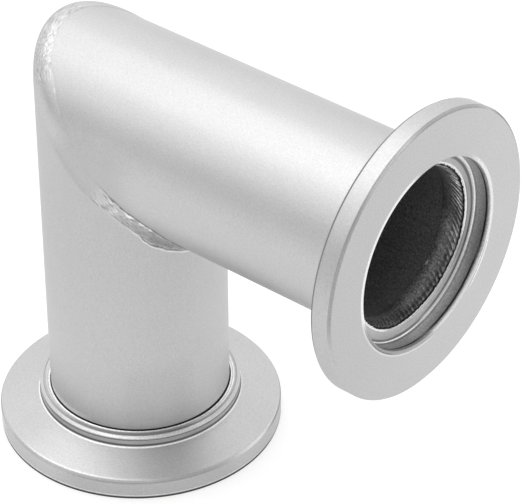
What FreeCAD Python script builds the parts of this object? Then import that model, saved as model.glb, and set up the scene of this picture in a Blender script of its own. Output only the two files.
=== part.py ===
import FreeCAD, Part
import math
import os

# Vacuum elbow: two steel pipes mitred and welded at 90 degrees, with a small clamp flange on each end.
# All sizes are in millimetres and all angles in degrees. The origin is the centre of the lower
# flange's sealing face, +Z runs up the inlet pipe, and +X runs along the outlet pipe.

# Pipes
PIPE_OUTER = 25.4
PIPE_WALL = 1.65
INLET_REACH = 50.0  # from the lower sealing face up to the outlet pipe's axis
OUTLET_REACH = 50.0  # from the inlet pipe's axis out to the other sealing face

# Clamp flange, the same on both ends
FLANGE_OUTER = 40.0
RIM_THICKNESS = 3.0  # at the outer edge, before the back taper starts
BACK_TAPER = 15.0  # the clamp's wedge angle
FACE_BREAK = 0.4  # bevel on the sealing face's outer edge
RIM_BREAK = 0.3  # bevel between the rim and the back taper
HUB_WALL = 1.5  # round the pipe's socket
HUB_LENGTH = 6.05  # from the sealing face to the hub's free end
HUB_BEVEL = 0.4
RECESS_DEPTH = 2.2  # for the centring ring
RECESS_LEDGE = 1.85  # radial width of the shoulder on the recess's floor
MOUTH_BEVEL = 0.4  # at the recess's mouth
SHOULDER_THICKNESS = 1.7  # from the recess's floor to the pipe's end
SHOULDER_STEP = 0.2  # how far the shoulder's bore stands back from the pipe's bore
SOCKET_CLEARANCE = 0.05  # between the pipe and its socket, on the radius
SOCKET_LEAD = 0.2  # bevel that leads the pipe into its socket

# Weld round the mitre: dressed flush over the heel, left as laid in the throat
MITRE_HALF_WIDTH = 1.9  # from the mitre plane to each toe
MITRE_CROWN = 0.35  # height of the laid bead over a plain blend of the two pipes
MITRE_RIPPLE = 0.12  # height of a ripple's crest
MITRE_RIPPLE_ANGLE = 6.0  # from one ripple to the next, round the pipe
MITRE_RIPPLE_CREST = 0.75  # where a ripple's crest lies between its foot and the next one's
MITRE_LEAD = 4.0  # how far a ripple's middle runs ahead of its ends
LAID_HALF_ANGLE = 72.0  # the laid stretch, either side of the throat
LAID_FADE = 15.0  # over which the laid bead grows from the dressed surface
DRESSED_STEP = 5.0  # between the sections of the dressed stretch
MITRE_SPANS = 6  # facets across the weld's outer face
TRIM_OVERLAP = 0.1  # how far the ring runs past its toes and into the bore before it is trimmed

# Weld inside each flange, which joins the pipe's end to the shoulder
SEAM_SETBACK = 0.2  # from the recess's floor to the weld's front toe
SEAM_RUN = 1.7  # how far the weld reaches along the pipe past its end
SEAM_CROWN = 0.5  # height of the bead over the bores
SEAM_RIPPLE = 0.08  # height of a ripple's crest
SEAM_RIPPLES = 50
SEAM_SLANT = -11.0  # how far a ripple turns about the axis from its front toe to its back toe
SEAM_SPANS = 4  # facets across the bead's crown

# Worked-out sizes
pipe_radius = PIPE_OUTER / 2
bore_radius = pipe_radius - PIPE_WALL
shoulder_radius = bore_radius + SHOULDER_STEP
recess_radius = shoulder_radius + RECESS_LEDGE
socket_radius = pipe_radius + SOCKET_CLEARANCE
hub_radius = socket_radius + HUB_WALL
rim_radius = FLANGE_OUTER / 2
socket_floor = RECESS_DEPTH + SHOULDER_THICKNESS
cutter_side = 4 * PIPE_OUTER  # boxes that cut along the mitre are wider than its edge

# The mitre plane passes through the point where the two axes meet
AXES_MEET = FreeCAD.Vector(0, 0, INLET_REACH)
ACROSS_MITRE = FreeCAD.Vector(1, 0, 1).normalize()
TO_MITRE = FreeCAD.Rotation(FreeCAD.Vector(0, 1, 0), 45)  # turns +Z to face across the mitre


def turned(corners):
    """Solid turned about Z from its half section, given as (height, radius)."""
    points = [FreeCAD.Vector(r, 0, z) for z, r in corners]
    face = Part.Face(Part.makePolygon(points + points[:1]))
    return face.revolve(FreeCAD.Vector(0, 0, 0), FreeCAD.Vector(0, 0, 1), 360)


def cut_at_mitre(shape, reach, setback):
    """What is left of an upright piece below the plane at 45 degrees, its long side at -X."""
    corner = FreeCAD.Vector(-cutter_side / 2, -cutter_side / 2, 0)
    waste = Part.makeBox(cutter_side, cutter_side, cutter_side, corner)
    foot = FreeCAD.Vector(0, 0, reach) - ACROSS_MITRE * setback
    waste.Placement = FreeCAD.Placement(foot, TO_MITRE)
    return shape.cut(waste)


def on_outlet(shape):
    """Turn a piece of the inlet's leg over the mitre, on to the outlet's leg."""
    placed = shape.copy()
    half_turn = FreeCAD.Rotation(FreeCAD.Vector(1, 0, -1), 180)
    placed.Placement = FreeCAD.Placement(FreeCAD.Vector(OUTLET_REACH, 0, INLET_REACH), half_turn)
    return placed


def flange():
    """Clamp flange with its sealing face at height 0 and its hub upwards."""
    slope = math.tan(math.radians(BACK_TAPER))
    hub_foot = RIM_THICKNESS + (rim_radius - hub_radius) * slope
    return turned([
        (0, rim_radius - FACE_BREAK),
        (FACE_BREAK, rim_radius),
        (RIM_THICKNESS - RIM_BREAK, rim_radius),
        (RIM_THICKNESS + RIM_BREAK * slope, rim_radius - RIM_BREAK),
        (hub_foot, hub_radius),
        (HUB_LENGTH - HUB_BEVEL, hub_radius),
        (HUB_LENGTH, hub_radius - HUB_BEVEL),
        (HUB_LENGTH, socket_radius + SOCKET_LEAD),
        (HUB_LENGTH - SOCKET_LEAD, socket_radius),
        (socket_floor, socket_radius),
        (socket_floor, shoulder_radius),
        (RECESS_DEPTH, shoulder_radius),
        (RECESS_DEPTH, recess_radius),
        (MOUTH_BEVEL, recess_radius),
        (0, recess_radius + MOUTH_BEVEL),
    ])


def pipe(reach):
    """Upright pipe from the socket's floor to the mitre weld."""
    foot = FreeCAD.Vector(0, 0, socket_floor)
    length = reach + pipe_radius - socket_floor
    tube = Part.makeCylinder(pipe_radius, length, foot).cut(Part.makeCylinder(bore_radius, length, foot))
    return cut_at_mitre(tube, reach, MITRE_HALF_WIDTH)


def bore(reach):
    """Solid that fills an upright leg's bore up to the mitre plane."""
    return cut_at_mitre(Part.makeCylinder(bore_radius, reach + bore_radius), reach, 0)


def seam_section(turn, height):
    """Ripple's line over the seam weld, slanted about the axis, closed along the bores behind it."""
    front = RECESS_DEPTH + SEAM_SETBACK
    back = socket_floor + SEAM_RUN
    places = []
    for i in range(SEAM_SPANS + 1):
        share = i / SEAM_SPANS
        swell = (SEAM_CROWN + height) * math.sin(math.pi * share)
        places.append((front + (back - front) * share, shoulder_radius - SHOULDER_STEP * share - swell))
    places.append((socket_floor, bore_radius))
    places.append((socket_floor, shoulder_radius))
    points = []
    for z, r in places:
        angle = math.radians(turn + SEAM_SLANT * (z - front) / (back - front))
        points.append(FreeCAD.Vector(r * math.cos(angle), r * math.sin(angle), z))
    return Part.makePolygon(points + points[:1])


def seam_weld():
    """Rippled ring that joins the pipe's end to the flange's shoulder, seen from the recess."""
    step = 360 / SEAM_RIPPLES
    lines = []
    for i in range(SEAM_RIPPLES):
        lines.append(seam_section(i * step, SEAM_RIPPLE))
        lines.append(seam_section((i + 0.5) * step, 0))
    return Part.makeLoft(lines, True, True, True)


def skin_height(turn, across, radius):
    """Distance from the mitre's edge out to a pipe's surface, at a distance from the mitre plane.

    turn is 0 at the heel and 180 in the throat. Both pipes give the same, being mirror images.
    """
    c, s = math.cos(math.radians(turn)), math.sin(math.radians(turn))
    q = math.sqrt(2 + 2 * s * s)
    out_x, out_y = -c / q, 2 * s / q
    x = -pipe_radius * c - abs(across) / math.sqrt(2)
    y = pipe_radius * s
    a = out_x * out_x + out_y * out_y
    b = x * out_x + y * out_y
    return (math.sqrt(b * b - a * (x * x + y * y - radius * radius)) - b) / a


def mitre_place(turn, across, height):
    """Point in space that lies across the weld from the mitre's edge, and height out from it."""
    c, s = math.cos(math.radians(turn)), math.sin(math.radians(turn))
    edge = AXES_MEET + FreeCAD.Vector(-c, s, c) * pipe_radius
    outward = FreeCAD.Vector(-c, 2 * s, c).normalize()
    return edge + ACROSS_MITRE * across + outward * height


def laid_share(turn):
    """1 where the bead is left as laid, 0 where it is dressed, with a smooth change between."""
    inside = LAID_HALF_ANGLE - abs(turn - 180)
    share = min(max(inside / LAID_FADE, 0), 1)
    return share * share * (3 - 2 * share)


def mitre_section(turn, ripple):
    """Closed line over the mitre weld's outer face, and back through the bore."""
    laid = laid_share(turn)
    reach = MITRE_HALF_WIDTH + TRIM_OVERLAP
    points = []
    for i in range(MITRE_SPANS + 1):
        across = reach * (2 * i / MITRE_SPANS - 1)
        middle = 1 - (across / MITRE_HALF_WIDTH) ** 2
        ahead = turn + MITRE_LEAD * laid * middle
        c, s = math.cos(math.radians(ahead)), math.sin(math.radians(ahead))
        bend = c / math.sqrt(1 + s * s)
        blend = bend * max(MITRE_HALF_WIDTH - abs(across), 0) ** 2 / (2 * MITRE_HALF_WIDTH)
        crown = laid * (MITRE_CROWN + ripple) * middle
        height = skin_height(ahead, across, pipe_radius) - blend + crown
        points.append(mitre_place(ahead, across, height))
    for across in (reach, 0, -reach):
        points.append(mitre_place(turn, across, skin_height(turn, across, bore_radius - TRIM_OVERLAP)))
    return Part.makePolygon(points + points[:1])


def mitre_weld():
    """Ring of weld metal between the two pipes, rippled in the throat."""
    lines = []
    ripples = round(2 * LAID_HALF_ANGLE / MITRE_RIPPLE_ANGLE)
    laid_start = 180 - LAID_HALF_ANGLE
    step = 2 * LAID_HALF_ANGLE / ripples
    for i in range(ripples):
        lines.append(mitre_section(laid_start + i * step, 0))
        lines.append(mitre_section(laid_start + (i + MITRE_RIPPLE_CREST) * step, MITRE_RIPPLE))
    dressed = 360 - 2 * LAID_HALF_ANGLE
    count = math.ceil(dressed / DRESSED_STEP)
    for i in range(count):
        lines.append(mitre_section(180 + LAID_HALF_ANGLE + dressed * i / count, 0))
    ring = Part.makeLoft(lines, True, True, True)
    corner = FreeCAD.Vector(-cutter_side / 2, -cutter_side / 2, -MITRE_HALF_WIDTH)
    band = Part.makeBox(cutter_side, cutter_side, 2 * MITRE_HALF_WIDTH, corner)
    band.Placement = FreeCAD.Placement(AXES_MEET, TO_MITRE)
    flow = bore(INLET_REACH).fuse(on_outlet(bore(OUTLET_REACH)))
    return ring.common(band).cut(flow).Solids[0]


def build():
    end_flange = flange()
    end_weld = seam_weld()
    pieces = {
        "inlet_flange": end_flange,
        "outlet_flange": on_outlet(end_flange),
        "inlet_tube": pipe(INLET_REACH),
        "outlet_tube": on_outlet(pipe(OUTLET_REACH)),
        "inlet_seam_weld": end_weld,
        "outlet_seam_weld": on_outlet(end_weld),
        "mitre_weld": mitre_weld(),
    }
    os.makedirs("parts", exist_ok=True)
    for name, shape in pieces.items():
        shape.exportStep(f"parts/{name}.step")


build()
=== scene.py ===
import bmesh
import bpy
import math
from mathutils import Matrix, Vector, noise


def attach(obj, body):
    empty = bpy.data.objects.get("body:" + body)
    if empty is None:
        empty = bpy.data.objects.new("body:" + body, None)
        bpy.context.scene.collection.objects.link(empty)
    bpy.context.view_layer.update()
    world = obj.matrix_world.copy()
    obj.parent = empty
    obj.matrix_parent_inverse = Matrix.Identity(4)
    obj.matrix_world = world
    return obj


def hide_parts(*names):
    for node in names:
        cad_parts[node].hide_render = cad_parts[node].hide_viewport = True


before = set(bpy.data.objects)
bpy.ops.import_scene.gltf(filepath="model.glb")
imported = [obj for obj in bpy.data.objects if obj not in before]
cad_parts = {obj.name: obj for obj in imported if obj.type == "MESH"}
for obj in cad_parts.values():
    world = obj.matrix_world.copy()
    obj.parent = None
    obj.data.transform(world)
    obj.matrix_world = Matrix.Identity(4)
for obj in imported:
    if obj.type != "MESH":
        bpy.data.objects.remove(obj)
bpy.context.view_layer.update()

# Vacuum elbow of satin, bead-blasted stainless steel: two pipes mitred and welded at 90 degrees,
# with a small clamp flange on each end. Pieces are shaped in millimetres and scaled to metres when
# they are finished. The inlet leg stands on its sealing face at the origin; the outlet leg is the
# same leg turned over. A place on a leg has a distance from its axis, a height over its sealing face
# and an angle about its axis.
METRES = 0.001

# Pipes
PIPE_RADIUS = 12.7
BORE_RADIUS = 11.05
REACH = 50.0  # from a sealing face to the other leg's axis

# Clamp flange. A break or bevel cuts back along the radius by its own value, and along the axis by
# its height where that differs
RIM_RADIUS = 20.0
RIM_THICKNESS = 3.0
FACE_BREAK = 0.4
INLET_BREAK_HEIGHT = 0.03
OUTLET_BREAK_HEIGHT = 0.3
FACE_BREAK_ROUND = 0.04
RIM_BREAK = 0.3
BACK_TAPER = math.radians(15)
HUB_RADIUS = 14.25
HUB_LENGTH = 6.12
HUB_BEVEL = 0.5
HUB_BEVEL_HEIGHT = 0.22
HUB_ROOT_ROUND = 0.35
SOCKET_RADIUS = 12.75
SOCKET_LEAD = 0.1
SOCKET_LIP = 0.06  # height of the lip raised round the socket
SOCKET_LIP_WIDTH = 0.096
SOCKET_FLOOR = 3.9
RECESS_RADIUS = 13.1
RECESS_DEPTH = 2.5
RECESS_ROUND = 0.2
MOUTH_BEVEL = 0.1
MOUTH_BEVEL_HEIGHT = 0.4
SHOULDER_RADIUS = 11.25
SHOULDER_BEVEL = 0.15
EDGE_ROUND = 0.07  # on every other turned edge

# Facets and edges
ROUND_STEPS = 384  # facets round a turned piece
ROUND_SEGMENTS = 3  # facets over a rounded edge
SHARP_EDGE = math.radians(38)
MERGE_DISTANCE = 1e-4

# The outlet leg is the inlet leg after a half turn about the line that bisects the two
TO_OUTLET = Matrix.Translation((REACH, 0, REACH)) @ Matrix.Rotation(math.pi, 4, Vector((1, 0, -1)))
AXES_MEET = Vector((0, 0, REACH))
ACROSS_MITRE = Vector((1, 0, 1)).normalized()


class Value:
    """A shader socket that stands in a sum or product as a number does."""

    def __init__(self, finish, socket):
        self.finish = finish
        self.socket = socket

    def math(self, operation, *terms):
        return self.finish.node("ShaderNodeMath", {"operation": operation}, dict(enumerate(terms)))

    def __add__(self, other):
        return self.math("ADD", self, other)

    def __radd__(self, other):
        return self.math("ADD", other, self)

    def __sub__(self, other):
        return self.math("SUBTRACT", self, other)

    def __rsub__(self, other):
        return self.math("SUBTRACT", other, self)

    def __mul__(self, other):
        return self.math("MULTIPLY", self, other)

    def __rmul__(self, other):
        return self.math("MULTIPLY", other, self)

    def __pow__(self, other):
        return self.math("POWER", self, other)


GRAZING_TINT = 0.95  # of the metal where it is seen along its surface


class Finish:
    """A material, whose nodes are added one call at a time."""

    def __init__(self, name):
        self.material = bpy.data.materials.new(name)
        self.material.use_nodes = True
        self.tree = self.material.node_tree
        self.tree.nodes.clear()

    def node(self, kind, settings=None, sockets=None, output=0):
        """Output of a new node: its settings come first, then its sockets' values and links."""
        made = self.tree.nodes.new(kind)
        for name, setting in (settings or {}).items():
            setattr(made, name, setting)
        for name, value in (sockets or {}).items():
            if isinstance(value, Value):
                self.tree.links.new(value.socket, made.inputs[name])
            else:
                made.inputs[name].default_value = value
        return Value(self, made.outputs[output])

    def between(self, value, low, high, start=0.0, end=1.0):
        """start where value is at low, end where it is at high, with a smooth change between."""
        sockets = {"Value": value, "From Min": low, "From Max": high,
                   "To Min": start, "To Max": end}
        return self.node("ShaderNodeMapRange", {"interpolation_type": "SMOOTHSTEP"}, sockets)

    def below(self, value, low, high):
        """1 up to low, 0 from high on, with a smooth change between."""
        return self.between(value, low, high, 1.0, 0.0)

    def noise(self, vector, scale, roughness=0.5):
        sockets = {"Vector": vector, "Scale": scale, "Detail": NOISE_DETAIL, "Roughness": roughness}
        return self.node("ShaderNodeTexNoise", {}, sockets)

    def vector(self, x, y, z):
        return self.node("ShaderNodeCombineXYZ", {}, {"X": x, "Y": y, "Z": z})

    def parts(self, vector):
        split = self.node("ShaderNodeSeparateXYZ", {}, {"Vector": vector})
        return [Value(self, socket) for socket in split.socket.node.outputs]

    def grey(self, value):
        sockets = {"Red": value, "Green": value, "Blue": value}
        return self.node("ShaderNodeCombineColor", {}, sockets)

    def surface(self, tone, roughness, height, depth):
        """Metal of a grey tone, with its grain as bump of a depth in millimetres, on the output."""
        sockets = {"Height": height, "Distance": depth * METRES, "Strength": 1.0}
        bump = self.node("ShaderNodeBump", {}, sockets)
        sockets = {"Base Color": self.grey(tone), "Metallic": 1.0, "Roughness": roughness,
                   "Normal": bump, "Specular Tint": (GRAZING_TINT,) * 3 + (1,)}
        return self.complete(self.node("ShaderNodeBsdfPrincipled", {}, sockets))

    def complete(self, shader):
        """The material, with a shader on its output."""
        end = self.tree.nodes.new("ShaderNodeOutputMaterial")
        self.tree.links.new(shader.socket, end.inputs["Surface"])
        return self.material


# Greys of the metal, and how much its grain and its slow unevenness change them
STEEL_TONE = 0.62
UNEVEN_TONE = 0.06
TURNED_GRAIN = 0.30
TURNED_RINGS = 0.05
PIPE_GRAIN = 0.26
# The bore's grey is painted shade: darker for the shade inside the pipe
BORE_SHADE_TONE = 0.35
BORE_GRAIN = 0.9
SEAM_GRAIN = 1.6
LINE_GRAIN = 2.0

# Roughness, and how much the slow unevenness changes it
TURNED_ROUGHNESS = 0.40
PIPE_ROUGHNESS = 0.42
BORE_EXTRA_ROUGHNESS = 0.15
SEAM_ROUGHNESS = 0.58
UNEVEN_ROUGHNESS = 0.1

# Depth of the grain in millimetres
GRAIN_DEPTH = 0.02
SEAM_GRAIN_DEPTH = 0.04

# Distances from the axis between which a pipe's bore turns into its outside
BORE_TO_OUTSIDE = (11.6, 12.2)

# The inlet's pipe darkens between these heights, to this tone against the steel's
INLET_DARKENS = (14.0, 38.0)
INLET_TOP_TONE = 0.93

# The outlet's flange has painted light, lighter on one side: the angle that turns its light side to
# angle 0, and the places on the line across it with their tones against the steel's
LIGHT_SIDE_TURN = math.radians(60)
LIGHT_SIDE = {"low": -16.0, "high": 18.0, "start": 0.95, "end": 1.03}

# Painted shade in the recess: its floor is darker than the steel, within a distance from the axis
# and from a height on
FLOOR_SHADE = 0.12
FLOOR_WITHIN = (13.0, 13.3)
FLOOR_FROM = (1.0, 2.0)
# The recess's wall is grainier, and its painted shade is darker at the mouth and lighter by so much
# in a millimetre inwards
WALL_SHADE = 0.18
WALL_RISE = 0.22
WALL_WITHIN = (13.1, 13.2)
WALL_UP_TO = (2.3, 2.4)

# Scales of the noise in a millimetre, and of the turned rings in a radian besides
SPECKLE_SCALE = 4.5
UNEVEN_SCALE = 0.12
RING_SCALE = 5.0
RING_SCALE_ROUND = 3.0
NOISE_DETAIL = 3.0
FINE_ROUGHNESS = 0.6
RING_HEIGHT = 0.4  # of the rings' bump against the speckle's

# The welds' tones hold painted highlights and shadows besides their marks
MARKS = "marks"  # attribute of the welds that holds the tone of each place


def leg_place(finish, outlet):
    """Coordinates in millimetres on the inlet leg, or on the outlet leg turned back to it."""
    place = finish.node("ShaderNodeTexCoord", {}, {}, "Object")
    mapping = {"Vector": place, "Scale": (1 / METRES,) * 3}
    if outlet:
        mapping["Rotation"] = TO_OUTLET.to_euler()
        mapping["Location"] = TO_OUTLET.translation
    return finish.node("ShaderNodeMapping", {"vector_type": "POINT"}, mapping)


def leg_parts(finish, place):
    """Distance from the leg's axis, height over the sealing face and angle about the axis."""
    x, y, height = finish.parts(place)
    return (x * x + y * y) ** 0.5, height, x.math("ARCTAN2", y, x)


def cosine(angle):
    return angle.math("COSINE", angle)


def speckled(finish, place):
    """Speckle of a bead-blasted surface, about 0."""
    return finish.noise(place, SPECKLE_SCALE, FINE_ROUGHNESS) - 0.5


def patchy(finish, place):
    """Slow unevenness of a bead-blasted surface, about 0."""
    return finish.noise(place, UNEVEN_SCALE) - 0.5


# Painted highlights and shadows: lines round a leg, painted bright where light falls on its edges
# and bands and dark where shade falls. Each has the distance from the axis and the height of its
# middle, its reach, its tone against the steel's, and the middle and half of the arc that it spans,
# in degrees
ALL_ROUND = (0, 180)
LINE_FADE = 8  # degrees over which an arc fades, to either side of its end
FLANGE_LINES = (
    # Edge of the mouth and wall of the recess
    (13.20, 0.20, 0.24, 1.15, -105, 45),
    (13.20, 0.20, 0.26, 1.8, -34, 24),
    (13.12, 0.42, 0.18, 1.6, -30, 22),
    (13.34, 0.02, 0.12, 0.8, 30, 40),
    (13.48, 0.00, 0.34, 1.4, -92, 44),
    (13.10, 0.60, 0.18, 0.13, 215, 80),
    (13.10, 0.70, 0.18, 0.13, -32, 26),
    (13.10, 0.60, 0.18, 0.13, 60, 60),
    (13.10, 1.45, 1.00, 0.95, -80, 18),
    (13.10, 1.40, 1.40, 0.68, 32, 24),
    (13.10, 1.40, 1.40, 0.8, 45, 12),
    (13.10, 2.22, 0.18, 0.6, *ALL_ROUND),
    # Floor of the recess
    (12.94, 2.51, 0.26, 1.9, 232, 62),
    (12.84, 2.51, 0.28, 2.5, -38, 24),
    (13.02, 2.51, 0.14, 1.7, 70, 75),
    (12.44, 2.50, 0.26, 0.45, 260, 85),
    (12.38, 2.50, 0.30, 0.65, -62, 20),
    (12.56, 2.50, 0.18, 0.5, 2, 12),
    (12.76, 2.50, 0.16, 0.5, 50, 55),
    (11.62, 2.51, 0.50, 1.25, -30, 24),
    (11.54, 2.50, 0.12, 0.55, -82, 30),
    (11.34, 2.51, 0.20, 1.9, 158, 130),
    (11.42, 2.50, 0.12, 0.7, -28, 38),
    # Foot and side of the hub
    (14.40, 4.53, 0.15, 1.6, -80, 62),
    (14.40, 4.53, 0.15, 1.2, 110, 140),
    (14.25, 4.80, 0.22, 0.28, *ALL_ROUND),
    (14.25, 5.15, 0.50, 0.78, 0, 48),
    (14.25, 5.15, 0.50, 0.9, -75, 28),
    (14.25, 5.66, 0.15, 0.45, *ALL_ROUND),
    # End of the hub
    (14.02, 6.02, 0.34, 1.25, -40, 32),
    (13.72, 6.12, 0.10, 0.6, *ALL_ROUND),
    (13.42, 6.12, 0.30, 0.62, -55, 38),
    (13.30, 6.12, 0.09, 1.35, 15, 45),
    (13.56, 6.12, 0.09, 0.7, 15, 45),
    (13.50, 6.12, 0.09, 0.7, -118, 24),
    (12.94, 6.15, 0.17, 1.75, *ALL_ROUND),
    (12.80, 6.12, 0.15, 0.08, 25, 36),
)
INLET_LINES = (
    # Edge of the sealing face
    (20.00, 0.08, 0.40, 0.12, -55, 70),
    (20.00, 0.10, 0.34, 0.5, 60, 50),
    # Side of the rim and its edge to the back taper
    (20.00, 0.52, 0.14, 1.35, -60, 70),
    (20.00, 1.55, 1.60, 0.86, -45, 35),
    (20.00, 1.55, 1.60, 1.4, -150, 22),
    (19.97, 2.75, 0.20, 0.55, 125, 110),
    (19.98, 2.66, 0.14, 0.75, -45, 30),
    (19.56, 3.11, 0.17, 1.25, -74, 26),
    (19.90, 2.95, 0.34, 0.85, -22, 16),
)
OUTLET_LINES = (
    # Edges of the rim
    (19.85, 0.15, 0.30, 0.72, 112, 26),
    (19.80, 0.15, 0.34, 0.6, 192, 20),
    (19.86, 0.15, 0.28, 0.5, -62, 78),
    (19.90, 2.85, 0.28, 0.4, *ALL_ROUND),
    # Sealing face beside the mouth
    (13.76, 0.00, 0.15, 1.3, 36, 40),
    (13.58, 0.00, 0.12, 0.75, 36, 40),
    (13.52, 0.00, 0.10, 0.5, 45, 14),
    (13.30, 0.20, 0.34, 0.75, 34, 36),
    (13.38, 0.00, 0.46, 1.75, 120, 46),
    (13.48, 0.00, 0.14, 0.55, -56, 10),
    (13.78, 0.00, 0.20, 1.4, -56, 11),
)
PIPE_LINES = (
    # Foot of the pipe, where it leaves its socket
    (12.70, 6.24, 0.22, 0.1, *ALL_ROUND),
    (12.70, 6.80, 0.50, 1.3, -105, 18),
)
INLET_PIPE_LINES = (
    (12.70, 10.0, 9.0, 0.94, -36, 20),
)
OUTLET_PIPE_LINES = (
    (12.70, 50.0, 13.0, 0.88, 84, 20),
)


def lined(finish, tone, speckle, radius, height, angle, lines):
    """Tone with each painted highlight or shadow line laid over it; the bright ones are grainy."""
    for at_radius, at_height, reach, factor, middle, half in lines:
        away = ((radius - at_radius) ** 2 + (height - at_height) ** 2) ** 0.5
        line = finish.below(away, reach * 0.5, reach)
        if half < 180:
            turned_by = angle - math.radians(middle)
            ends = [math.cos(math.radians(half + fade)) for fade in (LINE_FADE, -LINE_FADE)]
            line = line * finish.between(cosine(turned_by), *ends)
        if factor > 1:
            line = line * (1.0 + speckle * LINE_GRAIN)
        tone = tone * (1.0 + line * (factor - 1.0))
    return tone


def turned_steel(name, outlet):
    """Turned, then bead-blasted: fine rings under an even grain, painted highlight and shadow lines
    along its edges, painted shade in its recess and, on the outlet, painted light on one side.
    """
    finish = Finish(name)
    place = leg_place(finish, outlet)
    radius, height, angle = leg_parts(finish, place)
    speckle, uneven = speckled(finish, place), patchy(finish, place)
    ring_place = finish.vector(radius * RING_SCALE, height * RING_SCALE, angle * RING_SCALE_ROUND)
    rings = finish.noise(ring_place, 1.0, FINE_ROUGHNESS)
    tone = STEEL_TONE + uneven * UNEVEN_TONE + speckle * TURNED_GRAIN + (rings - 0.5) * TURNED_RINGS
    if outlet:
        across = radius * cosine(angle + LIGHT_SIDE_TURN)
        tone = tone * finish.between(across, **LIGHT_SIDE)
    on_floor = finish.below(radius, *FLOOR_WITHIN) * finish.between(height, *FLOOR_FROM)
    tone = tone * (1.0 - on_floor * FLOOR_SHADE)
    on_wall = finish.below(radius, *WALL_WITHIN) * finish.below(height, *WALL_UP_TO)
    tone = tone * (1.0 + on_wall * (speckle + height * WALL_RISE - WALL_SHADE))
    lines = FLANGE_LINES + (OUTLET_LINES if outlet else INLET_LINES)
    tone = lined(finish, tone, speckle, radius, height, angle, lines)
    roughness = TURNED_ROUGHNESS + uneven * UNEVEN_ROUGHNESS
    return finish.surface(tone, roughness, rings * RING_HEIGHT + speckle, GRAIN_DEPTH)


def pipe_steel(name, outlet):
    """Drawn pipe, bead-blasted outside; dull inside, with the bore painted dark for the shade in it.
    """
    finish = Finish(name)
    place = leg_place(finish, outlet)
    radius, height, angle = leg_parts(finish, place)
    speckle, uneven = speckled(finish, place), patchy(finish, place)
    outside = finish.between(radius, *BORE_TO_OUTSIDE)
    bore = finish.below(radius, *BORE_TO_OUTSIDE)
    if not outlet:
        outside = outside * finish.between(height, *INLET_DARKENS, 1.0, INLET_TOP_TONE)
    tone = (outside * (STEEL_TONE + uneven * UNEVEN_TONE + speckle * PIPE_GRAIN)
            + bore * (BORE_SHADE_TONE + speckle * BORE_GRAIN))
    lines = PIPE_LINES + (OUTLET_PIPE_LINES if outlet else INLET_PIPE_LINES)
    tone = lined(finish, tone, speckle, radius, height, angle, lines)
    roughness = PIPE_ROUGHNESS + uneven * UNEVEN_ROUGHNESS + bore * BORE_EXTRA_ROUGHNESS
    return finish.surface(tone, roughness, speckle, GRAIN_DEPTH)


def weld_marks(finish):
    return finish.node("ShaderNodeAttribute", {"attribute_name": MARKS}, {}, "Fac")


def mitre_metal(name):
    """Weld metal of the mitre, blasted with the pipes, toned by its own marks, with painted
    highlights and shadows on the laid bead.
    """
    finish = Finish(name)
    place = leg_place(finish, False)
    speckle, uneven = speckled(finish, place), patchy(finish, place)
    tone = (STEEL_TONE + uneven * UNEVEN_TONE + speckle * PIPE_GRAIN) * weld_marks(finish)
    return finish.surface(tone, PIPE_ROUGHNESS + uneven * UNEVEN_ROUGHNESS, speckle, GRAIN_DEPTH)


def seam_metal(name, outlet):
    """Weld metal inside a flange, dull and painted dark for the shade in the bore, toned by its own
    marks, which hold painted highlights and shadows.
    """
    finish = Finish(name)
    speckle = speckled(finish, leg_place(finish, outlet))
    tone = weld_marks(finish) * (1.0 + speckle * SEAM_GRAIN)
    return finish.surface(tone, SEAM_ROUGHNESS, speckle, SEAM_GRAIN_DEPTH)


def linked(name, mesh, material):
    """Object of the scene with a mesh and a material."""
    piece = bpy.data.objects.new(name, mesh)
    bpy.context.scene.collection.objects.link(piece)
    mesh.materials.append(material)
    return piece


def finish_piece(shape, name, material, nodes, outlet=False, sharp=SHARP_EDGE):
    """Make a shape in millimetres a smooth-shaded object of the scene that stands for its nodes."""
    if outlet:
        bmesh.ops.transform(shape, matrix=TO_OUTLET, verts=shape.verts)
    bmesh.ops.remove_doubles(shape, verts=shape.verts, dist=MERGE_DISTANCE)
    bmesh.ops.recalc_face_normals(shape, faces=shape.faces)
    bmesh.ops.scale(shape, vec=(METRES,) * 3, verts=shape.verts)
    for face in shape.faces:
        face.smooth = True
    for edge in shape.edges:
        edge.smooth = edge.calc_face_angle(0) < sharp
    mesh = bpy.data.meshes.new(name)
    shape.to_mesh(mesh)
    shape.free()
    piece = linked(name, mesh, material)
    even = piece.modifiers.new("even_shading", "WEIGHTED_NORMAL")
    even.keep_sharp = True
    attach(piece, "root")
    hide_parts(*nodes)


def spin_round(shape):
    """Turn the open section that a shape consists of about Z, all the way round."""
    bmesh.ops.spin(shape, geom=shape.verts[:] + shape.edges[:], cent=(0, 0, 0), axis=(0, 0, 1),
                   dvec=(0, 0, 0), angle=2 * math.pi, steps=ROUND_STEPS, use_merge=True,
                   use_duplicate=False)


def turned(corners):
    """Shape turned about Z from its half section, given as (height, radius, edge round)."""
    shape = bmesh.new()
    ring = [shape.verts.new((radius, 0, height)) for height, radius, _ in corners]
    shape.faces.new(ring)
    for corner, (_, _, size) in zip(ring, corners):
        if size:
            bmesh.ops.bevel(shape, geom=[corner], offset=size, offset_type="OFFSET",
                            segments=ROUND_SEGMENTS, profile=0.5, affect="VERTICES", material=-1)
    bmesh.ops.delete(shape, geom=shape.faces[:], context="FACES_ONLY")
    spin_round(shape)
    return shape


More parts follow.
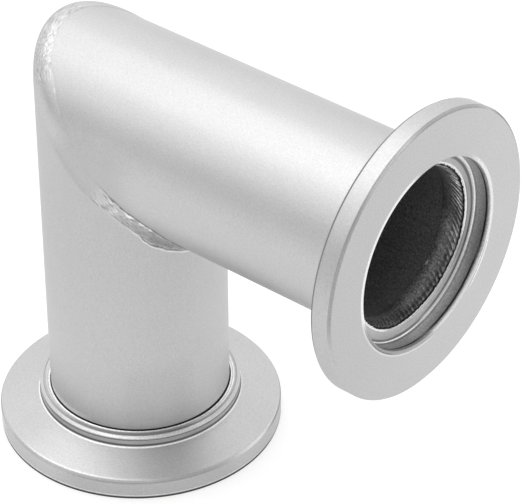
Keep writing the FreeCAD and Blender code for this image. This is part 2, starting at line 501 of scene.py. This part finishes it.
def flange(outlet):
    """Clamp flange, its sealing face at height 0 and its hub upwards."""
    slope = math.tan(BACK_TAPER)
    hub_foot = RIM_THICKNESS + (RIM_RADIUS - HUB_RADIUS) * slope
    break_height = OUTLET_BREAK_HEIGHT if outlet else INLET_BREAK_HEIGHT
    lip_radius = SOCKET_RADIUS + SOCKET_LEAD
    return turned([
        (0, RIM_RADIUS - FACE_BREAK, 0),
        (break_height, RIM_RADIUS, FACE_BREAK_ROUND),
        (RIM_THICKNESS - RIM_BREAK, RIM_RADIUS, EDGE_ROUND),
        (RIM_THICKNESS + RIM_BREAK * slope, RIM_RADIUS - RIM_BREAK, EDGE_ROUND),
        (hub_foot, HUB_RADIUS, HUB_ROOT_ROUND),
        (HUB_LENGTH - HUB_BEVEL_HEIGHT, HUB_RADIUS, EDGE_ROUND),
        (HUB_LENGTH, HUB_RADIUS - HUB_BEVEL, EDGE_ROUND),
        (HUB_LENGTH, lip_radius + SOCKET_LIP_WIDTH, 0),
        (HUB_LENGTH + SOCKET_LIP, lip_radius, 0),
        (HUB_LENGTH - SOCKET_LEAD, SOCKET_RADIUS, 0),
        (SOCKET_FLOOR, SOCKET_RADIUS, 0),
        (SOCKET_FLOOR, SHOULDER_RADIUS, 0),
        (RECESS_DEPTH, SHOULDER_RADIUS, SHOULDER_BEVEL),
        (RECESS_DEPTH, RECESS_RADIUS, RECESS_ROUND),
        (MOUTH_BEVEL_HEIGHT, RECESS_RADIUS, EDGE_ROUND),
        (0, RECESS_RADIUS + MOUTH_BEVEL, EDGE_ROUND),
    ])


def pipe():
    """Upright pipe from the socket's floor to the mitre weld."""
    top = REACH + 2 * PIPE_RADIUS
    shape = bmesh.new()
    corners = [(BORE_RADIUS, top), (BORE_RADIUS, SOCKET_FLOOR),
               (PIPE_RADIUS, SOCKET_FLOOR), (PIPE_RADIUS, top)]
    line = [shape.verts.new((radius, 0, height)) for radius, height in corners]
    for first, second in zip(line, line[1:]):
        shape.edges.new((first, second))
    spin_round(shape)
    everything = shape.verts[:] + shape.edges[:] + shape.faces[:]
    bmesh.ops.bisect_plane(shape, geom=everything, dist=1e-5, plane_no=ACROSS_MITRE,
                           plane_co=AXES_MEET - ACROSS_MITRE * MITRE_HALF_WIDTH, clear_outer=True)
    rims = [edge for edge in shape.edges if edge.is_boundary]
    bmesh.ops.bridge_loops(shape, edges=rims)
    return shape


def smooth(share):
    """0 below 0 and 1 above 1, with a smooth change between."""
    share = min(max(share, 0), 1)
    return share * share * (3 - 2 * share)


def inside(value, low, high, fade):
    """1 between low and high, 0 outside them, with a smooth change over the fade."""
    return smooth((value - low) / fade + 1) * smooth((high - value) / fade + 1)


def stepwise(table, at):
    """Value of a table of (place, value) pairs, with a smooth change from one to the next."""
    for (first, low), (second, high) in zip(table, table[1:]):
        if at <= second:
            return low + (high - low) * smooth((at - first) / (second - first))
    return table[-1][1]


def sheet(across, around):
    """Flat sheet of a unit square, whose corners are at 0 and 1, and the layer for its marks."""
    shape = bmesh.new()
    bmesh.ops.create_grid(shape, x_segments=across, y_segments=around, size=0.5)
    bmesh.ops.translate(shape, vec=(0.5, 0.5, 0), verts=shape.verts)
    return shape, shape.verts.layers.float.new(MARKS)


def signed_degrees(turn):
    """Degrees of an angle from 0 to a full turn, counted from -180 to 180."""
    return math.degrees(turn) - (360 if turn > math.pi else 0)


# Seam weld inside each flange, from its front toe to its back toe
SEAM_FRONT = 2.62
SEAM_BACK = 6.1
SEAM_CROWN = 0.5
SEAM_TOE_SINK = 0.04  # how far the front toe lies inside the shoulder's metal
SEAM_BELLY = 0.35  # how far the side that lies in the metal bulges
SEAM_RIPPLE = 0.05
SEAM_RIPPLES = 88
SEAM_SCALLOP = 0.03  # how far each ripple moves the front toe
SEAM_WANDER = 0.08  # how far the front toe wanders besides
SEAM_SHARP_EDGE = math.radians(24)
SEAM_FACETS = 30  # across the sheet that is bent to the weld
SEAM_FACETS_A_RIPPLE = 16

# Shares of the sheet's width: a flush front, then up to here the bead's crown. The rest closes it
# behind
SEAM_FLUSH_SHARE = 0.1
SEAM_FACE_SHARE = 0.82

# Against degrees round the leg: the flush front's width, how many degrees a ripple turns from its
# front toe to its back toe, and how bright the painted highlights on the ripples' crests are
SEAM_TOE = ((-180, 0.08), (-125, 0.1), (-105, 0.16), (-75, 0.18), (-62, 0.2), (-48, 0.42),
            (-8, 0.46), (5, 0.32), (18, 0.08), (180, 0.05))
SEAM_SLANT = ((-180, -17), (-75, -17), (-40, -8), (0, -6), (60, -12), (180, -17))
SEAM_SHARPNESS = ((-180, 0.5), (-125, 0.6), (-110, 1), (-70, 1), (-50, 0.65), (-15, 0.6),
                  (5, 0.3), (60, 0.1), (180, 0.5))

# Tone of the bead in front, painted dark for the shade in the bore; the painted light added to it
# further in, where its back slope faces away from the light; and the painted highlight that a crest
# adds
SEAM_TONE = 0.20
SEAM_PAINTED_LIGHT_BEHIND = 0.2
SEAM_CREST_HIGHLIGHT = 0.46
SEAM_TONE_GRAIN = 0.8
# Painted shadow: the dark line where the bead's front meets the flush front
SEAM_GAP_SHADOW_TONE = 0.05  # of the line between the flush front and the bead, against the bead's
# How much painted light brightens the bead over its lower arc, and how much painted shadow darkens
# its back toe over another. An arc has its low end, high end and fade, in degrees
LOWER_ARC = (-60, -8, 14)
LOWER_LIGHT = 0.9
BACK_ARC = (-130, -48, 15)
BACK_SHADE = 0.5
# Tone of the flush front, the painted highlight added along its edge, and where that ends and fades
SEAM_FLUSH_TONE = 0.62
SEAM_FLUSH_HIGHLIGHT = 1.0
FLUSH_HIGHLIGHT_WIDTH = 0.22
FLUSH_HIGHLIGHT_FADE = 0.06

# Drop of metal behind the outlet's seam, with a painted highlight on it: its place, and its reach
# each way
SPATTER_DEGREES = -35
SPATTER_HEIGHT = 5.65
SPATTER_REACH_DEGREES = 2
SPATTER_REACH = 0.12
SPATTER_HIGHLIGHT = 1.2
SPATTER_SIZE = 0.1


def seam_crest(turn, around, share):
    """Height of the seam's ripples at a share of the crown's width, against a whole ripple."""
    wave = 0.5 + 0.5 * math.cos(SEAM_RIPPLES * turn + 2 * noise.noise(around * 7))
    uneven = 1 + 1.2 * noise.noise(around * 9 + Vector((0, 0, share * 2)))
    return uneven * wave ** 2.5 * smooth(share / 0.12) * smooth((0.75 - share) / 0.6)


def seam_front(turn, around, degrees):
    """Width of the seam's flush front."""
    wander = 1.5 * noise.noise(around * 12) + noise.noise(around * 30)
    width = stepwise(SEAM_TOE, degrees) + SEAM_WANDER * wander
    return max(width + SEAM_SCALLOP * math.cos(SEAM_RIPPLES * turn), 0)


def seam_tone(share, degrees, around, crest, grain):
    """Tone of the seam's crown, dark for the shade in the bore, with painted highlights on its
    crests, painted light further in and over its lower arc, and painted shadows at its front and
    back toes.
    """
    back_toe = smooth((share - 0.93) / 0.04) * inside(degrees, *BACK_ARC)
    tone = SEAM_TONE + SEAM_PAINTED_LIGHT_BEHIND * smooth((share - 0.35) / 0.3)
    tone *= 1 + LOWER_LIGHT * inside(degrees, *LOWER_ARC)
    tone += SEAM_CREST_HIGHLIGHT * crest * stepwise(SEAM_SHARPNESS, degrees)
    tone *= (1 + SEAM_TONE_GRAIN * grain) * (1 - BACK_SHADE * back_toe)
    past_gap = smooth((share - 0.04 - 0.02 * noise.noise(around * 20)) / 0.04)
    return tone * (SEAM_GAP_SHADOW_TONE + (1 - SEAM_GAP_SHADOW_TONE) * past_gap)


def seam_weld(outlet):
    """Rippled ring that joins the pipe's end to the flange's shoulder."""
    shape, marks = sheet(SEAM_FACETS, SEAM_RIPPLES * SEAM_FACETS_A_RIPPLE)
    toe_radius = SHOULDER_RADIUS + SEAM_TOE_SINK
    for vert in shape.verts:
        flush = min(vert.co.x / SEAM_FLUSH_SHARE, 1)
        share = max(vert.co.x - SEAM_FLUSH_SHARE, 0) / (SEAM_FACE_SHARE - SEAM_FLUSH_SHARE)
        turn = vert.co.y * 2 * math.pi
        around = Vector((math.cos(turn), math.sin(turn), 0))
        degrees = signed_degrees(turn)
        crest = 0
        if share > 1 + 1e-6:
            behind = (vert.co.x - SEAM_FACE_SHARE) / (1 - SEAM_FACE_SHARE)
            share, lift = 1 - behind, -SEAM_BELLY * math.sin(math.pi * behind)
        else:
            crest = seam_crest(turn, around, share)
            lift = SEAM_CROWN * math.sin(math.pi * min(share, 1)) ** 0.7 + SEAM_RIPPLE * crest
        front = seam_front(turn, around, degrees)
        height = SEAM_FRONT + (SEAM_BACK - SEAM_FRONT) * share
        radius = toe_radius + (BORE_RADIUS - toe_radius) * share - lift
        radius -= front * flush * (1 - smooth(share / 0.35))
        slant = math.radians(stepwise(SEAM_SLANT, degrees)) * share * (2 - share)
        if flush < 1:
            from_edge = front * (1 - flush)
            # Painted highlight along the flush front's edge
            edge = smooth((FLUSH_HIGHLIGHT_WIDTH - from_edge) / FLUSH_HIGHLIGHT_FADE)
            tone = SEAM_FLUSH_TONE + SEAM_FLUSH_HIGHLIGHT * edge
        else:
            place = Vector((radius * math.cos(turn), radius * math.sin(turn), height))
            tone = seam_tone(share, degrees, around, crest, noise.noise(place * 4))
        if outlet:
            spatter = smooth(1.4 - math.hypot((degrees - SPATTER_DEGREES) / SPATTER_REACH_DEGREES,
                                              (height - SPATTER_HEIGHT) / SPATTER_REACH))
            tone += SPATTER_HIGHLIGHT * spatter
            radius -= SPATTER_SIZE * spatter
        vert.co = (radius * math.cos(turn + slant), radius * math.sin(turn + slant), height)
        vert[marks] = tone
    return shape


# Mitre weld: laid bead in the throat, dressed smooth round the heel
MITRE_HALF_WIDTH = 1.9  # where the pipes end, to either side of the mitre plane
MITRE_CROWN = 0.25
MITRE_RIPPLE = 0.10
MITRE_RIPPLES = 73.5  # in a whole turn
MITRE_LUMPS = 0.05
STREAK_TONE = 0.75  # how much the laid bead's streaks change its tone
LAID_HALF_ANGLE = math.radians(75)  # the laid stretch, either side of the throat
LAID_FADE = math.radians(11)
MITRE_FACETS = 70  # across the sheet that is bent to the weld
MITRE_FACETS_ROUND = 1200
SKIN_LIFT = 0.005  # of the weld over the pipes where the two are flush

# Shares of the sheet's width: a flush strip on the inlet's pipe, then up to here the weld's face.
# The rest is its way back inside
STRIP_SHARE = 0.1
FACE_SHARE = 0.72

# Against degrees from the throat: the reach of the weld's face along each pipe, and the skew of its
# ridge
INLET_REACH = ((0, 1.75), (32, 1.7), (37, 1.5), (42, 1.05), (48, 0.88), (62, 0.8), (70, 1.2),
               (80, 1.9), (180, 1.9))
OUTLET_REACH = ((0, 4.4), (32, 5.0), (44, 4.3), (51, 3.7), (58, 2.8), (69, 2.65), (78, 2.1),
                (108, 2.7), (122, 2.8), (134, 2.5), (180, 2.3))
RIDGE_SKEW = ((0, 0), (80, 0), (110, 0.9), (140, 0.7), (180, 0.6))
TOE_STEP = 0.1  # height of the laid bead's edge over the pipe
TOE_ROUND = 0.25  # over which the edge rises

# The way back, as (share of it, distance from the mitre plane or None for the toe, radius)
WAY_BACK = (
    (0, None, PIPE_RADIUS),
    (0.15, MITRE_HALF_WIDTH, PIPE_RADIUS - 0.3),
    (0.3, MITRE_HALF_WIDTH, BORE_RADIUS),
    (0.85, -MITRE_HALF_WIDTH, BORE_RADIUS),
    (1, -MITRE_HALF_WIDTH - 0.05, PIPE_RADIUS - 0.01),
)

# Marks on the weld: on the laid bead, painted highlights on its crests and near its outlet toe, and
# painted shadows along its toes and in its throat; on the dressed stretch, polish marks and darker
# and lighter stretches.
# Each has its change of tone, its pattern, the low end, high end and fade of the degrees that it
# spans, what its band is measured by, and the low end, high end and fade of that.
# The laid bead's degrees count from the throat and the dressed stretch's from the heel, where the
# side that the photograph shows is below 0
WHOLE_BEAD = (0, 180, 1)
LAID_HIGHLIGHTS_AND_SHADOWS = (
    # Painted highlights on the ripples' crests near the outlet toe
    (0.7, "crests", (44, 55, 3), "from_outlet_toe", (0.25, 0.6, 0.15)),
    # Painted highlight near the outlet toe
    (0.15, "plain", (58, 67, 3), "from_outlet_toe", (0.3, 0.42, 0.1)),
    # Painted shadow along the outlet toe
    (-1, "ragged", WHOLE_BEAD, "from_outlet_toe", (0, 0.1, 0.08)),
    # Painted shadow along the inlet toe
    (-0.3, "plain", WHOLE_BEAD, "from_inlet_toe", (0.2, 0.3, 0.1)),
    # Painted shade in the throat
    (-0.15, "plain", (8, 36, 8), "share", (0.1, 0.9, 0.1)),
)
DRESSED_MARKS = (
    (-0.07, "plain", (-46, 4, 8), "across", (0.6, 2.4, 0.3)),
    (0.5, "fine", (-24, 8, 6), "across", (0.8, 2.2, 0.4)),
    (0.55, "hatch", (-52, -28, 6), "across", (0.2, 2.5, 0.6)),
    (-0.12, "plain", (-112, -88, 12), "across", (-1.2, 2.4, 0.6)),
    (-0.08, "plain", (-66, -46, 6), "across", (1.4, 2.5, 0.5)),
    (-0.12, "plain", (-50, -22, 6), "across", (-0.4, 0.4, 0.3)),
    (0.25, "plain", (-62, -61, 1.2), "across", (2.55, 2.65, 0.08)),
)


def skin_height(turn, across, radius):
    """How far a pipe's surface lies out from the mitre's edge, at a place across the weld."""
    c, s = math.cos(turn), math.sin(turn)
    q = math.sqrt(2 + 2 * s * s)
    out_x, out_y = -c / q, 2 * s / q
    x = -PIPE_RADIUS * c - abs(across) / math.sqrt(2)
    y = PIPE_RADIUS * s
    a = out_x * out_x + out_y * out_y
    b = x * out_x + y * out_y
    return (math.sqrt(b * b - a * (x * x + y * y - radius * radius)) - b) / a


def mitre_place(turn, across, height):
    """Point that lies across the weld from the mitre's edge, and height out from it."""
    c, s = math.cos(turn), math.sin(turn)
    edge = AXES_MEET + Vector((-c, s, c)) * PIPE_RADIUS
    outward = Vector((-c, 2 * s, c)).normalized()
    return edge + ACROSS_MITRE * across + outward * height


def way_back(behind, toe):
    """Place on the line that closes the weld through the pipes' walls, as (across, radius)."""
    for (first, across, radius), (second, next_across, next_radius) in zip(WAY_BACK, WAY_BACK[1:]):
        if behind <= second + 1e-6:
            across = toe if across is None else across
            part = (behind - first) / (second - first)
            return across + (next_across - across) * part, radius + (next_radius - radius) * part


def marked(marks, patterns, degrees, places):
    """Tone that marks give a place, whose patterns and measures are given by name."""
    tone = 1
    for change, pattern, stretch, measure, band in marks:
        change *= patterns[pattern] * inside(places[measure], *band)
        tone *= 1 + change * inside(degrees, *stretch)
    return tone


def laid_bead(share, turn, around, from_throat, across, from_inlet_toe, from_outlet_toe):
    """Height of the bead as laid over a plain blend of the pipes, and its tone: streaks, with
    painted highlights and shadows.
    """
    edge = min(from_inlet_toe, from_outlet_toe)
    along = turn * MITRE_RIPPLES + 1.2 * share + 1.2 * noise.noise(around * 5)
    wave = (0.5 + 0.5 * math.cos(along)) ** 2
    uneven = 1 + 0.7 * noise.noise(around * 11)
    streak = (noise.noise(Vector((across * 7, turn * 14, 7)))
              + 0.7 * noise.noise(Vector((across * 11, turn * 30, 2))))
    height = TOE_STEP * smooth(edge / TOE_ROUND)
    height += MITRE_RIPPLE * wave * uneven * share * smooth(edge / 0.4)
    height += MITRE_LUMPS * streak * smooth(edge / 0.3)
    height += MITRE_CROWN * 4 * share * (1 - share) * smooth((from_throat - 0.35) / 0.6)
    patterns = {"plain": 1, "crests": wave * uneven, "ragged": 0.4 + 0.5 * noise.noise(around * 25)}
    places = {"share": share, "from_inlet_toe": from_inlet_toe, "from_outlet_toe": from_outlet_toe}
    marks = marked(LAID_HIGHLIGHTS_AND_SHADOWS, patterns, math.degrees(from_throat), places)
    return height, (1 + STREAK_TONE * streak) * marks


def dressed_tone(degrees, across):
    """Tone of the dressed stretch at degrees from the heel."""
    patterns = {
        "plain": 1,
        "fine": noise.noise(Vector((across * 11 + degrees * 0.1, degrees * 0.16, 3))),
        "hatch": noise.noise(Vector((across * 15 + degrees * 0.5, degrees * 0.3, 9))),
    }
    return marked(DRESSED_MARKS, patterns, degrees, {"across": across})


def mitre_weld():
    """Ring of weld metal between the pipes: laid bead in the throat, dressed round the heel."""
    shape, marks = sheet(MITRE_FACETS, MITRE_FACETS_ROUND)
    for vert in shape.verts:
        turn = vert.co.y * 2 * math.pi
        from_throat = abs(turn - math.pi)
        degrees = math.degrees(from_throat)
        around = Vector((math.cos(turn), math.sin(turn), 0))
        laid = smooth((LAID_HALF_ANGLE - from_throat) / LAID_FADE)
        wander_in = 0.12 * laid * noise.noise(around * 9)
        wander_out = 0.25 * laid * noise.noise(around * 9 + Vector((0, 0, 5)))
        inlet_toe = -stepwise(INLET_REACH, degrees) - wander_in
        outlet_toe = stepwise(OUTLET_REACH, degrees) + wander_out
        tone = 1
        if vert.co.x < STRIP_SHARE - 1e-6:
            share = vert.co.x / STRIP_SHARE
            start = min(-MITRE_HALF_WIDTH, inlet_toe) - 0.05
            across = start + (inlet_toe - start) * share
            height = skin_height(turn, across, PIPE_RADIUS)
            height += SKIN_LIFT * (2 * smooth(share * 4) - 1)
            # Painted highlight on the pipe along the inlet's toe, in two stretches
            lit = 0.45 * inside(degrees, 10, 40, 4) + 0.54 * inside(degrees, 44, 62, 3)
            tone = 1 + lit * inside(inlet_toe - across, 0, 0.1, 0.08)
        elif vert.co.x > FACE_SHARE + 1e-6:
            across, radius = way_back((vert.co.x - FACE_SHARE) / (1 - FACE_SHARE), outlet_toe)
            height = skin_height(turn, across, radius)
        else:
            share = (vert.co.x - STRIP_SHARE) / (FACE_SHARE - STRIP_SHARE)
            low, high = inlet_toe * (1 - share) ** 2, outlet_toe * share ** 2
            lead = 2 * share * (1 - share) * stepwise(RIDGE_SKEW, degrees)
            across = low + high + lead
            bend = math.cos(turn) / math.sqrt(1 + math.sin(turn) ** 2)
            blend = bend * (low - high + lead + abs(across))
            rise, laid_tone = laid_bead(share, turn, around, from_throat, across,
                                        across - inlet_toe, outlet_toe - across)
            height = skin_height(turn, across, PIPE_RADIUS) + blend + laid * rise + SKIN_LIFT
            dressed = dressed_tone(signed_degrees(turn), across)
            tone = (1 + (laid_tone - 1) * laid) * (1 + (dressed - 1) * (1 - laid))
        # The weld takes over the inlet pipe's darker tone on its side
        tone *= INLET_TOP_TONE + (1 - INLET_TOP_TONE) * smooth((across + MITRE_HALF_WIDTH) / 2.5)
        vert.co = mitre_place(turn, across, height)
        vert[marks] = tone
    return shape


# Floor
FLOOR_SIZE = 3  # in metres
PAPER_GREY = 0.5
PAPER_GLOW_TO_CAMERA = 0.62
PAPER_GLOW_TO_METAL = 0.475


def paper_white():
    """Floor that the camera and the metal see as white, and that keeps the object's shadow."""
    finish = Finish("paper_white")
    path = finish.node("ShaderNodeLightPath").socket.node
    camera, glossy, transmission = (
        Value(finish, path.outputs[f"Is {kind} Ray"])
        for kind in ("Camera", "Glossy", "Transmission")
    )
    paper = finish.node("ShaderNodeBsdfDiffuse", {}, {"Color": (PAPER_GREY,) * 3 + (1,)})
    strength = camera * PAPER_GLOW_TO_CAMERA + (glossy + transmission) * PAPER_GLOW_TO_METAL
    glow = finish.node("ShaderNodeEmission", {}, {"Color": (1, 1, 1, 1), "Strength": strength})
    return finish.complete(finish.node("ShaderNodeAddShader", {}, {0: paper, 1: glow}))


def make_floor():
    shape = bmesh.new()
    bmesh.ops.create_grid(shape, x_segments=1, y_segments=1, size=FLOOR_SIZE)
    mesh = bpy.data.meshes.new("floor")
    shape.to_mesh(mesh)
    shape.free()
    floor = linked("floor", mesh, paper_white())


WORLD_STRENGTH = 0.66  # for all but the camera, which sees white


def make_world():
    """White behind the object, and an even grey light on it."""
    world = bpy.data.worlds.new("studio")
    world.use_nodes = True
    bpy.context.scene.world = world
    nodes, links = world.node_tree.nodes, world.node_tree.links
    nodes.clear()
    path = nodes.new("ShaderNodeLightPath")
    mix = nodes.new("ShaderNodeMix")
    mix.data_type = "FLOAT"
    mix.inputs["A"].default_value = WORLD_STRENGTH
    mix.inputs["B"].default_value = 1.0
    links.new(path.outputs["Is Camera Ray"], mix.inputs["Factor"])
    background = nodes.new("ShaderNodeBackground")
    background.inputs["Color"].default_value = (1, 1, 1, 1)
    links.new(mix.outputs[0], background.inputs["Strength"])
    end = nodes.new("ShaderNodeOutputWorld")
    links.new(background.outputs[0], end.inputs["Surface"])


# Softboxes round the object, each with its azimuth from +X towards +Y and its elevation in degrees,
# and its power in watts. They look at one point and stand at one distance from it, in metres
SOFTBOXES = (
    (180, 70, 0.266),
    (45, 15, 0.209),
    (225, 45, 0.168),
    (270, 70, 0.133),
    (180, 15, 0.129),
    (90, 70, 0.117),
    (90, 15, 0.114),
    (135, 45, 0.101),
    (135, 15, 0.086),
)
SOFTBOX_SIDE = 0.3
SOFTBOX_DISTANCE = 0.4
LIT_POINT = Vector((0.015, 0, 0.04))


def make_softboxes():
    for number, (azimuth, elevation, power) in enumerate(SOFTBOXES):
        lamp = bpy.data.lights.new(f"softbox_{number}", "AREA")
        lamp.shape = "SQUARE"
        lamp.size = SOFTBOX_SIDE
        lamp.energy = power
        holder = bpy.data.objects.new(lamp.name, lamp)
        a, e = math.radians(azimuth), math.radians(elevation)
        towards = Vector((math.cos(a) * math.cos(e), math.sin(a) * math.cos(e), math.sin(e)))
        turn = towards.to_track_quat("Z", "Y").to_matrix().to_4x4()
        holder.matrix_world = Matrix.Translation(LIT_POINT + towards * SOFTBOX_DISTANCE) @ turn
        holder.visible_camera = False
        bpy.context.scene.collection.objects.link(holder)


# Camera, fitted to the edges that the photograph shows. It stands at a distance from its target, and
# is shifted along the picture's own axes, in millimetres
PHOTO_WIDTH = 522  # in pixels
FOCAL_LENGTH = 3046.992  # in pixels
SENSOR_WIDTH = 36
CAMERA_AZIMUTH = math.radians(39.943)  # from -Y towards +X
CAMERA_ELEVATION = math.radians(35.829)
CAMERA_ROLL = math.radians(-0.484)
CAMERA_TARGET = Vector((20, 0, 25))
CAMERA_DISTANCE = 412.345
SHIFT_RIGHT = 1.912
SHIFT_UP = 9.521


def make_camera():
    """Camera at the photograph's viewing angle."""
    level = math.cos(CAMERA_ELEVATION)
    back = Vector((math.sin(CAMERA_AZIMUTH) * level, -math.cos(CAMERA_AZIMUTH) * level,
                   math.sin(CAMERA_ELEVATION)))
    right = Vector((math.cos(CAMERA_AZIMUTH), math.sin(CAMERA_AZIMUTH), 0))
    up = back.cross(right)
    picture_right = right * math.cos(CAMERA_ROLL) + up * math.sin(CAMERA_ROLL)
    picture_up = up * math.cos(CAMERA_ROLL) - right * math.sin(CAMERA_ROLL)
    place = CAMERA_TARGET + back * CAMERA_DISTANCE
    place = (place + picture_right * SHIFT_RIGHT + picture_up * SHIFT_UP) * METRES
    camera = bpy.data.cameras.new("camera")
    camera.sensor_fit = "HORIZONTAL"
    camera.sensor_width = SENSOR_WIDTH
    camera.lens = FOCAL_LENGTH / PHOTO_WIDTH * SENSOR_WIDTH
    holder = bpy.data.objects.new("camera", camera)
    turn = Matrix((picture_right, picture_up, back)).transposed().to_4x4()
    holder.matrix_world = Matrix.Translation(place) @ turn
    bpy.context.scene.collection.objects.link(holder)
    bpy.context.scene.camera = holder


def make_object():
    for leg, outlet in (("inlet", False), ("outlet", True)):
        turned_finish = turned_steel(f"turned_steel_{leg}", outlet)
        pipe_finish = pipe_steel(f"pipe_steel_{leg}", outlet)
        seam_finish = seam_metal(f"seam_metal_{leg}", outlet)
        finish_piece(flange(outlet), f"{leg}_flange_turned", turned_finish, [f"{leg}_flange"],
                     outlet)
        finish_piece(pipe(), f"{leg}_pipe", pipe_finish, [f"{leg}_tube"], outlet)
        finish_piece(seam_weld(outlet), f"{leg}_seam_bead", seam_finish, [f"{leg}_seam_weld"],
                     outlet, SEAM_SHARP_EDGE)
    mitre_finish = mitre_metal("mitre_metal")
    finish_piece(mitre_weld(), "mitre_bead", mitre_finish, ["mitre_weld"])


make_camera()
make_world()
make_floor()
make_softboxes()
make_object()

bpy.context.scene.view_settings.view_transform = "Standard"
